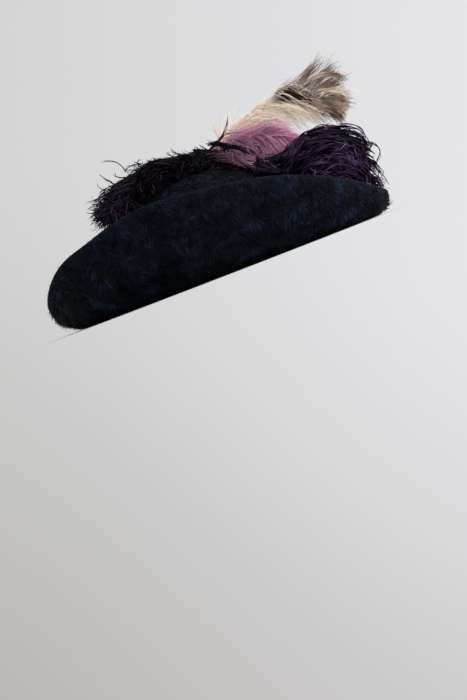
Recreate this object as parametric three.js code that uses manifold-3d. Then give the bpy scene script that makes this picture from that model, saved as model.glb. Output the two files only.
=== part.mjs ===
// A picture hat of about 1910: a deep round crown and a wide brim of black long-napped fur felt, the brim
// rolled up all the way round and highest on the wearer's right, with four ostrich plumes on the crown.
// Millimetres. +Z is up, -Y is the wearer's front and -X the wearer's right. The hat stands on the lowest
// ring of its brim, at z = 0, and the origin is under the middle of its outline.
import * as THREE from "three";
import { mergeVertices } from "three/addons/utils/BufferGeometryUtils.js";
import Module from "manifold-3d";

const wasm = await Module();
wasm.setup();

// Driving dimensions
const FELT = 3; // thickness of the felt wall
const GAP = 0.3; // left between pieces that meet
const HEAD = { front: 98, side: 84 }; // half-axes of the oval head opening
const HEAD_LINE = 12; // height of the head opening above the resting ring
const CROWN_TOP = 138; // height of the crown's outside above the resting ring
const RIM = { front: 228, side: 221 }; // half-axes of the brim's outline, seen from above
const REST_WIDTH = 6; // width of the flat ring that the hat stands on
const TRIM_TURN = 55; // degrees from the wearer's left to the line that the plumes sweep along

// The brim all round. angle: degrees from the front towards the wearer's left. contact: radius of the
// resting ring. rise: height of the rim. curl: how far round the roll has turned at the rim, in degrees.
const BRIM = [
  { angle: 0, contact: 158, rise: 47, curl: 86 },
  { angle: 15, contact: 168, rise: 31, curl: 92 },
  { angle: 35, contact: 172, rise: 26, curl: 98 },
  { angle: 60, contact: 168, rise: 33, curl: 92 },
  { angle: 90, contact: 152, rise: 47, curl: 82 },
  { angle: 125, contact: 142, rise: 58, curl: 76 },
  { angle: 160, contact: 154, rise: 57, curl: 82 },
  { angle: 190, contact: 166, rise: 50, curl: 92 },
  { angle: 215, contact: 170, rise: 46, curl: 100 },
  { angle: 228, contact: 164, rise: 54, curl: 98 },
  { angle: 240, contact: 154, rise: 70, curl: 92 },
  { angle: 252, contact: 144, rise: 84, curl: 86 },
  { angle: 265, contact: 132, rise: 92, curl: 79 },
  { angle: 277, contact: 122, rise: 102, curl: 74 },
  { angle: 290, contact: 117, rise: 107, curl: 71 },
  { angle: 305, contact: 117, rise: 101, curl: 70 },
  { angle: 318, contact: 121, rise: 95, curl: 71 },
  { angle: 331, contact: 130, rise: 84, curl: 75 },
  { angle: 345, contact: 145, rise: 67, curl: 81 },
];
const BRIM_STATIONS = 60; // sections round the brim
const ROLL_STEPS = 7; // faces across the roll
const DROP_STEPS = 3; // faces from the head opening down to the resting ring

// The crown from its foot to its top. rise: share of its height. width: share of the head oval. lean:
// how far the ring is set towards the wearer's back.
const CROWN = [
  { rise: 0, width: 1, lean: 0 },
  { rise: 0.03, width: 1, lean: 0 },
  { rise: 0.28, width: 1.03, lean: 1 },
  { rise: 0.5, width: 1.03, lean: 3 },
  { rise: 0.66, width: 0.965, lean: 6 },
  { rise: 0.77, width: 0.85, lean: 8 },
  { rise: 0.85, width: 0.72, lean: 9 },
  { rise: 0.92, width: 0.56, lean: 11 },
  { rise: 0.97, width: 0.36, lean: 12 },
  { rise: 0.993, width: 0.18, lean: 12 },
];
const CROWN_STATIONS = 40; // sections round the crown

// The plumes. In each row of a spine, along runs towards the plumes' front tips, depth away from the
// wearer's right and height above the resting ring; body is the half-width of the dense middle and
// barb the length of the barbs there. face: how the flat of the plume leans, as depth and height.
// sweep: degrees that the barbs lean towards the tip, at the root and at the tip. bush: degrees that they
// spread out of the flat. droop: how far they bend down over their length, in radians. locks: barbs are
// gathered into this many locks, and lockWidth is the half-width of one at its root.
const PLUMES = {
  back_plume: {
    colour: 0x231a2c,
    face: { depth: 0.97, height: 0.25 },
    sweep: [20, 68],
    bush: 60,
    droop: 1.6,
    locks: 26,
    lockWidth: 8,
    spine: [
      { along: 62, depth: -10, height: 126, body: 4, barb: 18 },
      { along: 46, depth: -15, height: 140, body: 9, barb: 24 },
      { along: 26, depth: -19, height: 148, body: 12, barb: 30 },
      { along: 4, depth: -22, height: 152, body: 14, barb: 34 },
      { along: -19, depth: -25, height: 154, body: 15, barb: 38 },
      { along: -42, depth: -28, height: 155, body: 17, barb: 44 },
      { along: -64, depth: -30, height: 151, body: 18, barb: 48 },
      { along: -83, depth: -32, height: 142, body: 16, barb: 50 },
      { along: -100, depth: -34, height: 129, body: 9, barb: 42 },
    ],
  },
  front_plume: {
    colour: 0x2b2038,
    face: { depth: 0.9, height: 0.43 },
    sweep: [15, 50],
    bush: 85,
    droop: 2.3,
    locks: 32,
    lockWidth: 8,
    spine: [
      { along: 70, depth: -20, height: 112, body: 4, barb: 16 },
      { along: 90, depth: -26, height: 104, body: 9, barb: 26 },
      { along: 110, depth: -30, height: 103, body: 15, barb: 38 },
      { along: 137, depth: -32, height: 111, body: 20, barb: 48 },
      { along: 164, depth: -34, height: 114, body: 22, barb: 54 },
      { along: 187, depth: -34, height: 109, body: 21, barb: 52 },
      { along: 203, depth: -33, height: 92, body: 16, barb: 40 },
      { along: 209, depth: -32, height: 71, body: 8, barb: 28 },
    ],
  },
  mauve_plume: {
    colour: 0x9a6a82,
    face: { depth: 0.55, height: 0.83 },
    sweep: [42, 60],
    bush: 40,
    droop: 0.7,
    locks: 24,
    lockWidth: 8,
    spine: [
      { along: 26, depth: 14, height: 139, body: 3, barb: 16 },
      { along: 48, depth: 13, height: 146, body: 9, barb: 34 },
      { along: 70, depth: 12, height: 146, body: 15, barb: 44 },
      { along: 93, depth: 10, height: 142, body: 18, barb: 48 },
      { along: 114, depth: 8, height: 134, body: 16, barb: 44 },
      { along: 132, depth: 6, height: 123, body: 9, barb: 34 },
    ],
  },
  cream_plume: {
    colour: 0xd9c8b8,
    face: { depth: 0.5, height: 0.87 },
    sweep: [40, 48],
    bush: 30,
    droop: 0.35,
    locks: 28,
    lockWidth: 8,
    spine: [
      { along: 28, depth: 30, height: 136, body: 3, barb: 14 },
      { along: 46, depth: 35, height: 153, body: 4, barb: 24 },
      { along: 68, depth: 38, height: 165, body: 7, barb: 30 },
      { along: 109, depth: 42, height: 175, body: 12, barb: 40 },
      { along: 150, depth: 45, height: 182, body: 18, barb: 54 },
      { along: 184, depth: 47, height: 182, body: 20, barb: 60 },
      { along: 214, depth: 48, height: 176, body: 12, barb: 46 },
    ],
  },
};
const BODY_FLATNESS = 0.62; // thickness of a plume's dense middle over its width
const LOCK_FLATNESS = 0.6; // thickness of a lock over its width
const FIRST_LOCK = 0.13; // where the locks begin along the spine, as a share of it
const LAST_LOCK = 0.97; // where they end
const BUSH_TURN = 2.4; // radians from one lock's place in the bush to the next one's
const LOCK_STEPS = 4; // faces along a lock
const LOCK_SIDES = 4; // faces round a lock
const SPINE_STEPS = 10; // faces along a plume's dense middle
const SPINE_SIDES = 8; // faces round it

const FELT_COLOUR = 0x13161b;
const FELT_ROUGHNESS = 0.95;
const FEATHER_ROUGHNESS = 0.8;
const WELD = 1e-4; // points closer than this are one

const rad = THREE.MathUtils.degToRad;
const mix = THREE.MathUtils.lerp;

// A column of a table of rows round the hat, read smoothly at any angle.
function around(rows, column, angle) {
  const n = rows.length;
  const turned = ((angle % 360) + 360) % 360;
  let k = n - 1;
  while (k > 0 && rows[k].angle > turned) k--;
  const at = (j) => {
    const turn = Math.floor(j / n);
    const row = rows[j - turn * n];
    return { x: row.angle + turn * 360, y: row[column] };
  };
  const [a, b, c, d] = [at(k - 1), at(k), at(k + 1), at(k + 2)];
  const slopeB = (c.y - a.y) / (c.x - a.x);
  const slopeC = (d.y - b.y) / (d.x - b.x);
  const span = c.x - b.x;
  const t = (turned - b.x) / span;
  const [t2, t3] = [t * t, t * t * t];
  return (
    (2 * t3 - 3 * t2 + 1) * b.y +
    (t3 - 2 * t2 + t) * span * slopeB +
    (3 * t2 - 2 * t3) * c.y +
    (t3 - t2) * span * slopeC
  );
}

// The radius of an oval with these half-axes, at an angle from the front.
function oval({ front, side }, angle) {
  const [c, s] = [Math.cos(rad(angle)), Math.sin(rad(angle))];
  return (front * side) / Math.hypot(side * c, front * s);
}

// A point at a radius and height, at an angle from the front towards the wearer's left.
function polar(radius, height, angle) {
  return new THREE.Vector3(radius * Math.sin(rad(angle)), -radius * Math.cos(rad(angle)), height);
}

// One closed surface through rings of equal length. loop joins the last ring to the first; otherwise the
// first and last rings are single points.
function skin(rings, loop) {
  const points = [];
  const starts = rings.map((ring) => points.push(...ring) - ring.length);
  const faces = [];
  const pairs = loop ? rings.length : rings.length - 1;
  for (let i = 0; i < pairs; i++) {
    const j = (i + 1) % rings.length;
    const [a, b] = [rings[i], rings[j]];
    const count = Math.max(a.length, b.length);
    for (let k = 0; k < count; k++) {
      const next = (k + 1) % count;
      const [a0, a1] = a.length === 1 ? [starts[i], starts[i]] : [starts[i] + k, starts[i] + next];
      const [b0, b1] = b.length === 1 ? [starts[j], starts[j]] : [starts[j] + k, starts[j] + next];
      if (a0 !== a1) faces.push(a0, a1, b0);
      if (b0 !== b1) faces.push(a1, b1, b0);
    }
  }
  const geometry = new THREE.BufferGeometry().setFromPoints(points);
  geometry.setIndex(faces);
  return geometry;
}

// The geometry as a manifold-3d solid, turned right side out.
function solidOf(geometry) {
  const merged = mergeVertices(new THREE.BufferGeometry().setIndex(geometry.index)
    .setAttribute("position", geometry.getAttribute("position")), WELD);
  const vertProperties = merged.getAttribute("position").array;
  const triVerts = new Uint32Array(merged.index.array);
  const solid = new wasm.Manifold(new wasm.Mesh({ numProp: 3, vertProperties, triVerts }));
  if (solid.volume() > 0) return solid;
  for (let i = 0; i < triVerts.length; i += 3) {
    [triVerts[i + 1], triVerts[i + 2]] = [triVerts[i + 2], triVerts[i + 1]];
  }
  return new wasm.Manifold(new wasm.Mesh({ numProp: 3, vertProperties, triVerts }));
}

// A manifold-3d solid's largest body, as a geometry.
function geometryOf(solid) {
  const largest = solid.decompose().reduce((a, b) => (a.volume() > b.volume() ? a : b));
  const mesh = largest.getMesh();
  const geometry = new THREE.BufferGeometry();
  geometry.setAttribute("position", new THREE.BufferAttribute(mesh.vertProperties, 3));
  geometry.setIndex(new THREE.BufferAttribute(mesh.triVerts, 1));
  geometry.computeVertexNormals();
  return geometry;
}

// The brim's section at one angle: its underside as [radius, height] points from the head opening, down to
// the resting ring and up the roll to the rim.
function underside(angle) {
  const contact = around(BRIM, "contact", angle);
  const rise = around(BRIM, "rise", angle);
  const curl = rad(around(BRIM, "curl", angle));
  const head = oval(HEAD, angle) + FELT + GAP;
  const restIn = contact - REST_WIDTH / 2;
  const restOut = contact + REST_WIDTH / 2;
  const reach = (oval(RIM, angle) - restOut) / Math.sin(Math.min(curl, Math.PI / 2));
  const points = [];
  for (let i = 0; i <= DROP_STEPS; i++) {
    const t = i / DROP_STEPS;
    points.push([mix(head, restIn, t), (HEAD_LINE * (1 + Math.cos(Math.PI * t))) / 2]);
  }
  points.push([restOut, 0]);
  for (let i = 1; i <= ROLL_STEPS; i++) {
    const turn = (curl * i) / ROLL_STEPS;
    points.push([
      restOut + reach * Math.sin(turn),
      (rise * (1 - Math.cos(turn))) / (1 - Math.cos(curl)),
    ]);
  }
  return points;
}

// The closed section of the brim's wall. swell thickens it on every side.
function brimSection(angle, swell) {
  const line = underside(angle);
  const normals = line.map((_, i) => {
    const [a, b] = [line[Math.max(i - 1, 0)], line[Math.min(i + 1, line.length - 1)]];
    const length = Math.hypot(b[0] - a[0], b[1] - a[1]);
    return [(a[1] - b[1]) / length, (b[0] - a[0]) / length];
  });
  normals[0] = [0, 1];
  const last = line.length - 1;
  const shifted = (i, by) => [line[i][0] + normals[i][0] * by, line[i][1] + normals[i][1] * by];
  const under = line.map((_, i) => (swell ? shifted(i, -swell) : line[i]));
  const over = line.map((_, i) => shifted(i, FELT + swell)).reverse();
  const [tip, across] = [shifted(last, FELT / 2), normals[last]];
  const nose = [tip[0] + across[1] * (FELT / 2 + swell), tip[1] - across[0] * (FELT / 2 + swell)];
  return [...under, nose, ...over].map(([radius, height]) => polar(radius, height, angle));
}

function brim(swell = 0) {
  const sections = [];
  for (let i = 0; i < BRIM_STATIONS; i++) sections.push(brimSection((360 * i) / BRIM_STATIONS, swell));
  return skin(sections, true);
}

// One ring of the crown: a row of its table with the wall added, at a height.
function crownRing({ width, lean }, wall, height) {
  const ring = [];
  for (let i = 0; i < CROWN_STATIONS; i++) {
    const angle = (360 * i) / CROWN_STATIONS;
    const point = polar((oval(HEAD, angle) + FELT) * width - FELT + wall, height, angle);
    point.y += lean;
    ring.push(point);
  }
  return ring;
}

// The crown: its outside from the foot to the top, and its inside back down. swell grows the outside, and
// filled leaves out the hollow.
function crown({ swell = 0, filled = false } = {}) {
  const rings = (wall, top) => CROWN.map((row) =>
    crownRing(row, wall, HEAD_LINE + (top - HEAD_LINE) * row.rise));
  const outside = rings(FELT + swell, CROWN_TOP + swell);
  const lean = CROWN[CROWN.length - 1].lean;
  const peak = [new THREE.Vector3(0, lean, CROWN_TOP + swell)];
  if (filled) return skin([[new THREE.Vector3(0, 0, HEAD_LINE)], ...outside, peak], false);
  const inside = rings(0, CROWN_TOP - FELT);
  const roof = [new THREE.Vector3(0, lean, CROWN_TOP - FELT)];
  return skin([roof, ...inside.reverse(), ...outside, peak], false);
}

// A closed tube along a path that tapers to a point at both ends. wide and thick give its half-widths
// at each step, and flat the direction of its width.
function taperedTube(path, wide, thick, flat, sides) {
  const rings = path.map((point, i) => {
    if (i === 0 || i === path.length - 1) return [point];
    const ahead = path[i + 1].clone().sub(path[i - 1]).normalize();
    const across = flat.clone().addScaledVector(ahead, -flat.dot(ahead)).normalize();
    const through = new THREE.Vector3().crossVectors(ahead, across);
    const ring = [];
    for (let k = 0; k < sides; k++) {
      const turn = (2 * Math.PI * k) / sides;
      ring.push(point.clone()
        .addScaledVector(across, wide(i) * Math.cos(turn))
        .addScaledVector(through, thick(i) * Math.sin(turn)));
    }
    return ring;
  });
  return skin(rings, false);
}

// A plume's spine as a curve, with its table's other columns read along it.
function spineOf(plume) {
  const rows = plume.spine;
  const points = rows.map((row) => new THREE.Vector3(row.along, row.depth, row.height));
  const curve = new THREE.CatmullRomCurve3(points, false, "centripetal");
  const column = (name, t) => {
    const x = t * (rows.length - 1);
    const k = Math.min(Math.floor(x), rows.length - 2);
    return mix(rows[k][name], rows[k + 1][name], x - k);
  };
  const face = new THREE.Vector3(0, plume.face.depth, plume.face.height).normalize();
  return { curve, column, face };
}

// The path of one lock of barbs: it leaves the spine at t on one side of the flat, leans towards the tip,
// and bends down as it goes. spread is from -1 to 1, its place in the plume's bush.
function lockPath(plume, spine, t, side, spread) {
  const start = spine.curve.getPoint(t);
  const ahead = spine.curve.getTangent(t);
  const across = spine.face.clone().addScaledVector(ahead, -spine.face.dot(ahead)).normalize();
  const up = new THREE.Vector3().crossVectors(across, ahead);
  if (up.z < 0) up.negate();
  const lean = rad(mix(plume.sweep[0], plume.sweep[1], t));
  const tilt = rad(plume.bush) * spread;
  const heading = across.clone().multiplyScalar(side * Math.cos(tilt) * Math.cos(lean))
    .addScaledVector(up, Math.sin(tilt) * Math.cos(lean))
    .addScaledVector(ahead, Math.sin(lean))
    .normalize();
  const step = spine.column("barb", t) / LOCK_STEPS;
  const path = [start.clone()];
  for (let i = 0; i < LOCK_STEPS; i++) {
    path.push(path[i].clone().addScaledVector(heading, step));
    heading.z -= plume.droop / LOCK_STEPS;
    heading.normalize();
  }
  return path;
}

// A plume: its dense middle on its quill, with locks of barbs fused to it on both sides and round its tip.
function plumeSolid(plume, swell) {
  const spine = spineOf(plume);
  const steps = Array.from({ length: SPINE_STEPS + 1 }, (_, i) => i / SPINE_STEPS);
  const path = steps.map((t) => spine.curve.getPoint(t));
  const wide = (i) => spine.column("body", steps[i]) + swell;
  const thick = (i) => wide(i) * BODY_FLATNESS;
  let solid = solidOf(taperedTube(path, wide, thick, spine.face, SPINE_SIDES));
  for (let i = 0; i < plume.locks; i++) {
    const t = mix(FIRST_LOCK, LAST_LOCK, (i + 0.5) / plume.locks);
    const side = i % 2 ? 1 : -1;
    const lock = lockPath(plume, spine, t, side, Math.sin(i * BUSH_TURN));
    const lockWide = (k) => plume.lockWidth * Math.sqrt(1 - (k / LOCK_STEPS) ** 2) + swell;
    const lockThick = (k) => lockWide(k) * LOCK_FLATNESS;
    solid = solid.add(solidOf(taperedTube(lock, lockWide, lockThick, spine.curve.getTangent(t), LOCK_SIDES)));
  }
  return solid;
}

function mesh(name, geometry, colour, roughness) {
  const material = new THREE.MeshStandardMaterial({ color: colour, roughness, metalness: 0 });
  const made = new THREE.Mesh(geometry, material);
  made.name = name;
  return made;
}

const hat = new THREE.Group();
hat.add(mesh("brim", geometryOf(solidOf(brim())), FELT_COLOUR, FELT_ROUGHNESS));
hat.add(mesh("crown", geometryOf(solidOf(crown())), FELT_COLOUR, FELT_ROUGHNESS));

// The plumes lie in a group turned to the line that they sweep along. Each is cut clear of the felt and of
// the plumes before it.
const trimming = new THREE.Group();
trimming.rotation.z = -rad(TRIM_TURN);
hat.add(trimming);
const turned = (geometry) => solidOf(geometry.rotateZ(rad(TRIM_TURN)));
const taken = [turned(crown({ swell: GAP, filled: true })), turned(brim(GAP))];
for (const [name, plume] of Object.entries(PLUMES)) {
  const cut = taken.reduce((solid, other) => solid.subtract(other), plumeSolid(plume, 0));
  trimming.add(mesh(name, geometryOf(cut), plume.colour, FEATHER_ROUGHNESS));
  taken.push(plumeSolid(plume, GAP));
}

// The hat stands with the middle of its outline over the origin.
const outline = new THREE.Box3().setFromObject(hat, true);
hat.position.set(-(outline.min.x + outline.max.x) / 2, -(outline.min.y + outline.max.y) / 2, 0);

const part = new THREE.Group();
part.add(hat);
export default part;
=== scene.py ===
"""A picture hat of long-napped black fur felt with four ostrich plumes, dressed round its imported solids."""

import math
from types import SimpleNamespace

import bpy
import numpy as np
from mathutils import Matrix, Vector
from mathutils.bvhtree import BVHTree


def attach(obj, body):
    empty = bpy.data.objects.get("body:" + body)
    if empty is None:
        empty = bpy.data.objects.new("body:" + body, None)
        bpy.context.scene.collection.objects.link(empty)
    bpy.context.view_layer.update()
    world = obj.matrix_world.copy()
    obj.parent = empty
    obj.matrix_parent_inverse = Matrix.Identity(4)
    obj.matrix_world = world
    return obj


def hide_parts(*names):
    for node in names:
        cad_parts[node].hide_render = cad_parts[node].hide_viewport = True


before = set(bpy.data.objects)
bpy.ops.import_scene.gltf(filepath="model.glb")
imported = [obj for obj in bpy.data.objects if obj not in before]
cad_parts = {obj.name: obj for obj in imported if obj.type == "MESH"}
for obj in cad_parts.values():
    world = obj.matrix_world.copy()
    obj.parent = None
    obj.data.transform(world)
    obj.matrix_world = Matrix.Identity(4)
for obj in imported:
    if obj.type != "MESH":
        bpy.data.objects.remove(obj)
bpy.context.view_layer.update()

bl_info = {
    "name": "Picture hat",
    "version": (1, 0, 0),
    "blender": (4, 5, 0),
    "location": "View3D > Sidebar > Hat",
    "description": "Dresses a fur felt picture hat with its nap and its ostrich plumes",
    "category": "Object",
}

MM = 0.001
UV = "OFBake"  # strands are coloured by this map: u picks the strand's shade, v runs from root to tip
HALF_SHADE = 0.003  # half of the width in u that a strand takes up
BARB_STEPS = 10
QUILL_STEPS = 24
TIP_EVERY = 9  # one barb in so many grows at the quill's very tip
BODY_FLATNESS = 0.7  # thickness of the bunch of quills over its width
WISP_FLUFF = 0.5  # length of a loose strand's barbules over a barb's
MAP_EDGE = 0.01  # what a plume's barbs leave free at either end of their half of u
HAIR_STEPS = np.array([0, 0.5, 1.0])  # where a hair's points lie between its root and its tip
HAIR_WIDTHS = np.array([0.9, 1.0, 0.0])  # there, as parts of its width
RIM_PARTS = 72  # directions round the hat in which the rim's height is taken
NAP_SEED, PLUME_SEED = 1910, 500
RIM_ZONE = 18 * MM  # from the rim down, the nap gets shorter and flatter, and lighter as a painted highlight
LOW_ZONE = 45 * MM  # from the floor up, it stands off more
FLOOR_GAP = 0.6 * MM  # least height of a hair above the floor, and most above the rim
TRIM_TURN = math.radians(55)  # from the wearer's left to the line that the plumes sweep along
ALONG = Vector((math.cos(TRIM_TURN), -math.sin(TRIM_TURN), 0))
DEPTH = Vector((math.sin(TRIM_TURN), math.cos(TRIM_TURN), 0))
CROWN_MIDDLE = Vector((0, 0, 60 * MM))
BOWL_MIDDLE = Vector((0, 0, 400 * MM))  # seen from here the brim shows its upper side

# The camera sees the hat as it stands in the picture.
PICTURE = SimpleNamespace(width=467, height=700)  # pixels
SENSOR = 36  # millimetres, along the picture's height
VIEW = SimpleNamespace(
    distance=2.2,
    height=14 * MM,
    azimuth=math.radians(-55),
    turn=math.radians(-0.6989),
    pitch=math.radians(-2.7825),
    roll=math.radians(21.1),
    lens=89.074,
)


def picture_axes(view):
    """The camera's place, and the directions to the picture's right, to its top and into it."""
    c, s = math.cos(view.azimuth), math.sin(view.azimuth)
    right, away = Vector((c, s, 0)), Vector((-s, c, 0))
    ahead = (
        (right * math.sin(view.turn) + away * math.cos(view.turn)) * math.cos(view.pitch)
        + Vector((0, 0, math.sin(view.pitch)))
    )
    level = ahead.cross(Vector((0, 0, 1))).normalized()
    upright = level.cross(ahead)
    across = level * math.cos(view.roll) - upright * math.sin(view.roll)
    top = level * math.sin(view.roll) + upright * math.cos(view.roll)
    return away * -view.distance + Vector((0, 0, view.height)), across, top, ahead


# Lengths in the plumes' tables are millimetres and angles are degrees. Along runs towards the plumes' front
# tips, depth away from the wearer's right and height above the resting ring.
# In a spine's row, body is the half width of the bunch of quills, upper and lower are the lengths of the
# barbs on its two sides, lean and under are how far these lean from square to the quill towards its tip, and
# droop is how strongly they bend down.
SPINE = ("along", "depth", "height", "body", "upper", "lower", "lean", "under", "droop")
# A wisp is a bunch of so many loose strands along a curve through three points, spread by so much. It has
# the shade of the barbs at its part of the quill, from 0 to 1 on the lower side and from 1 to 2 on the upper.
WISP = ("along", "depth", "height", "count", "spread", "part")


def placed(*values):
    """A wisp whose three points are given by real sizes."""
    return dict(zip(WISP, values))


def picked(places, depth, *rest):
    """A wisp through three places of the picture, in pixels across and down, at three chosen depths."""
    eye, across, top, ahead = picture_axes(VIEW)
    focal = VIEW.lens / SENSOR * PICTURE.height
    points = []
    for (x, y), far in zip(places, depth):
        ray = ahead * focal + across * (x - PICTURE.width / 2) + top * (PICTURE.height / 2 - y)
        points.append(eye + ray * ((far * MM - eye.dot(DEPTH)) / ray.dot(DEPTH)))
    return placed([round(p.dot(ALONG) / MM) for p in points], depth, [round(p.z / MM) for p in points], *rest)


BACK_SPINE = [
    (84, -4, 108, 4, 18, 22, 10, 10, 1.0),
    (64, -11, 127, 7, 34, 36, 20, 20, 1.0),
    (46, -15, 140, 9, 26, 26, 34, 34, 1.4),
    (26, -19, 149, 10, 28, 24, 54, 54, 1.2),
    (4, -22, 152, 10, 30, 26, 62, 62, 0.9),
    (-19, -25, 155, 10, 28, 26, 66, 64, 0.8),
    (-42, -28, 156, 11, 30, 28, 66, 64, 0.7),
    (-64, -30, 149, 13, 38, 32, 64, 62, 0.6),
    (-84, -32, 141, 14, 46, 38, 60, 60, 0.5),
    (-104, -34, 131, 10, 38, 36, 58, 60, 0.5),
]
BACK_WISPS = [
    picked([(126, 172), (112, 161), (92, 166)], (-30, -32, -34), 2, 1, 0.2),
    picked([(118, 186), (108, 181), (101, 177)], (-32, -34, -36), 3, 2, 0.3),
    picked([(143, 168), (133, 165), (122, 173)], (-30, -34, -34), 5, 3, 0.3),
    picked([(147, 171), (137, 163), (149, 158)], (-30, -32, -30), 2, 2, 0.3),
    picked([(181, 161), (160, 160), (147, 168)], (-34, -40, -40), 26, 4, 0.2),
    picked([(166, 164), (149, 165), (138, 178)], (-40, -48, -46), 26, 5, 0.2),
    picked([(136, 176), (114, 187), (97, 198)], (-38, -40, -38), 20, 6, 0.9),
    picked([(133, 182), (110, 192), (92, 206)], (-44, -44, -40), 20, 6, 0.9),
    picked([(131, 190), (110, 200), (91, 215)], (-46, -46, -42), 18, 6, 0.9),
    picked([(128, 200), (110, 210), (92, 223)], (-46, -46, -42), 16, 6, 0.9),
    picked([(126, 206), (108, 218), (91, 232)], (-44, -46, -42), 12, 5, 0.9),
    placed((27, 56, 73), (-19, -22, -20), (151, 163, 187), 4, 3, 0.2),
    placed((38, 55, 73), (-18, -22, -24), (154, 161, 163), 5, 4, 0.2),
    placed((50, 70, 93), (-16, -18, -16), (150, 143, 118), 14, 5, 0.2),
    placed((90, 92, 103), (-8, -16, -22), (146, 128, 98), 2, 2, 0.2),
    placed((97, 93, 85), (-14, -16, -16), (126, 137, 144), 2, 2, 0.2),
    placed((30, 70, 112), (-12, -24, -32), (136, 118, 94), 30, 9, 0.2),
    picked([(262, 166), (276, 170), (292, 168)], (-48, -58, -58), 16, 5, 0.1),
    picked([(248, 167), (260, 170), (274, 173)], (-42, -52, -54), 12, 5, 0.1),
    picked([(209, 144), (230, 146), (251, 155)], (-40, -50, -50), 26, 4, 0.2),
    picked([(222, 148), (238, 149), (254, 157)], (-44, -50, -50), 10, 3, 0.2),
]
FRONT_SPINE = [
    (114, -27, 92, 9, 24, 28, 58, 50, 1.0),
    (134, -30, 103, 13, 26, 36, 58, 50, 1.2),
    (154, -32, 108, 15, 26, 40, 60, 50, 1.5),
    (175, -34, 104, 16, 26, 40, 60, 46, 1.8),
    (193, -34, 94, 13, 20, 34, 54, 42, 2.0),
    (204, -34, 80, 8, 14, 22, 46, 36, 1.8),
]
FRONT_WISPS = [
    picked([(297, 149), (313, 135), (346, 134)], (-40, -56, -50), 30, 7, 0.1),
    picked([(299, 153), (320, 140), (355, 144)], (-48, -68, -58), 22, 8, 0.15),
    picked([(302, 159), (326, 147), (354, 152)], (-56, -74, -66), 18, 8, 0.2),
    picked([(336, 133), (361, 137), (362, 160)], (-40, -48, -50), 26, 6, 0.15),
    picked([(346, 141), (365, 150), (355, 172)], (-54, -62, -64), 18, 7, 0.2),
    picked([(325, 160), (342, 156), (361, 166)], (-68, -78, -66), 22, 6, 0.95),
    picked([(317, 171), (333, 155), (350, 138)], (-68, -80, -66), 3, 2, 0.98),
    picked([(352, 134), (356, 150), (361, 163)], (-64, -76, -66), 3, 3, 0.95),
    picked([(316, 163), (334, 176), (356, 168)], (-68, -78, -68), 8, 8, 0.75),
    picked([(322, 172), (344, 166), (366, 180)], (-68, -78, -50), 10, 7, 0.8),
    picked([(332, 164), (342, 172), (338, 178)], (-68, -78, -66), 6, 8, 0.85),
    picked([(318, 160), (313, 169), (323, 175)], (-70, -78, -68), 4, 4, 0.75),
    picked([(287, 174), (288, 156), (304, 140)], (-48, -58, -48), 44, 7, 0.05),
    picked([(291, 175), (297, 158), (318, 150)], (-56, -68, -68), 34, 8, 0.1),
    picked([(298, 175), (308, 164), (330, 160)], (-62, -76, -76), 22, 8, 0.15),
    picked([(300, 150), (302, 140), (316, 135)], (-56, -64, -60), 4, 5, 0.8),
    picked([(258, 160), (270, 168), (292, 172)], (-30, -46, -58), 36, 8, 0.02),
    picked([(262, 167), (276, 172), (298, 174)], (-36, -52, -60), 36, 7, 0.02),
    picked([(268, 158), (284, 156), (298, 147)], (-34, -50, -50), 22, 6, 0.03),
    picked([(300, 174), (330, 180), (360, 178)], (-44, -50, -44), 50, 7, 0.1),
    picked([(330, 170), (352, 175), (366, 184)], (-48, -52, -42), 40, 7, 0.15),
    picked([(354, 160), (366, 170), (366, 186)], (-46, -50, -42), 40, 7, 0.2),
    picked([(352, 158), (370, 166), (382, 184)], (-44, -46, -38), 24, 9, 0.3),
    picked([(354, 174), (371, 177), (385, 188)], (-42, -40, -34), 34, 7, 0.3),
    picked([(341, 124), (358, 126), (367, 140)], (-34, -36, -36), 3, 1.5, 0.2),
    picked([(337, 126), (350, 127), (361, 136)], (-34, -36, -36), 4, 3, 0.2),
    picked([(308, 133), (325, 128), (348, 131)], (-34, -38, -38), 10, 4, 0.2),
    picked([(364, 141), (379, 150), (374, 168)], (-36, -40, -38), 4, 2, 0.2),
    picked([(362, 150), (373, 144), (366, 156)], (-38, -40, -38), 3, 2, 0.2),
    picked([(362, 162), (375, 162), (372, 178)], (-36, -38, -36), 4, 3, 0.2),
    placed((116, 131, 148), (-28, -20, -12), (111, 118, 112), 16, 6, 0.1),
    placed((127, 145, 166), (-32, -20, -10), (116, 123, 111), 22, 7, 0.15),
    placed((140, 160, 186), (-34, -20, -10), (118, 125, 108), 26, 8, 0.3),
    placed((156, 178, 200), (-34, -22, -12), (119, 125, 103), 28, 8, 0.35),
    placed((174, 193, 209), (-36, -24, -16), (119, 119, 95), 18, 8, 0.4),
    picked([(359, 173), (371, 179), (381, 187)], (-44, -42, -38), 18, 5, 0.15),
    picked([(364, 180), (375, 184), (384, 190)], (-42, -40, -36), 12, 4, 0.2),
]
MAUVE_SPINE = [
    (26, 14, 141, 3, 22, 26, 55, 38, 0.6),
    (48, 13, 149, 8, 36, 42, 64, 45, 0.7),
    (70, 12, 153, 13, 48, 54, 66, 46, 0.7),
    (93, 10, 151, 16, 48, 58, 62, 43, 0.8),
    (114, 8, 144, 15, 38, 48, 54, 38, 0.9),
    (134, 6, 132, 9, 24, 32, 44, 31, 0.9),
]
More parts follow.
